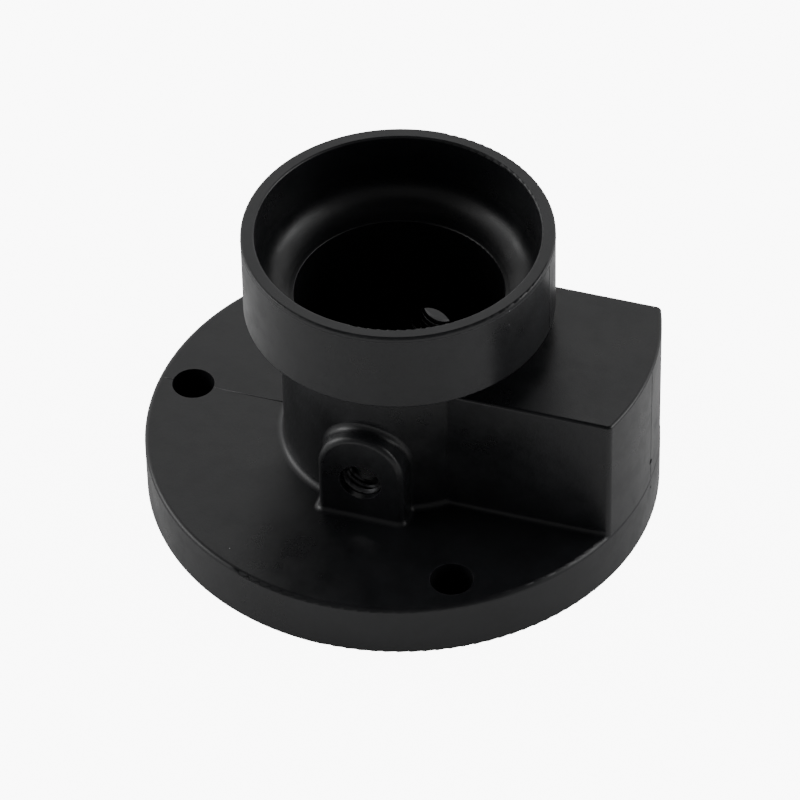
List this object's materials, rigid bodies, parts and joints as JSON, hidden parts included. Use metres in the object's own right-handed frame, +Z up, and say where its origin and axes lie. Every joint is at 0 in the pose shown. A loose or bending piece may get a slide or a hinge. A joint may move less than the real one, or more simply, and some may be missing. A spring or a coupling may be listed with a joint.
{
  "type": "toilet flange",
  "caption": "Round plastic floor flange with a central pipe bore, raised cup socket, radial wedge box and threaded side bosses.",
  "frame": {"origin": "centre of the underside of the disc, on the axis of the pipe bore", "axes": "+Z up the pipe bore towards the cup, +X towards the wedge box, threaded bosses on -Y (front) and +Y (rear)"},
  "size_m": [0.1, 0.1, 0.0622],
  "materials": {
    "black_plastic": "satin moulded black plastic with a fine grain",
    "insert_wire": "black oxide on rolled wire",
    "seal_rubber": "matt black rubber"
  },
  "bodies": {
    "root": {"flange_body": "black_plastic", "front_thread_insert": "insert_wire", "rear_thread_insert": "insert_wire", "base_seal": "seal_rubber"}
  },
  "joints": []
}
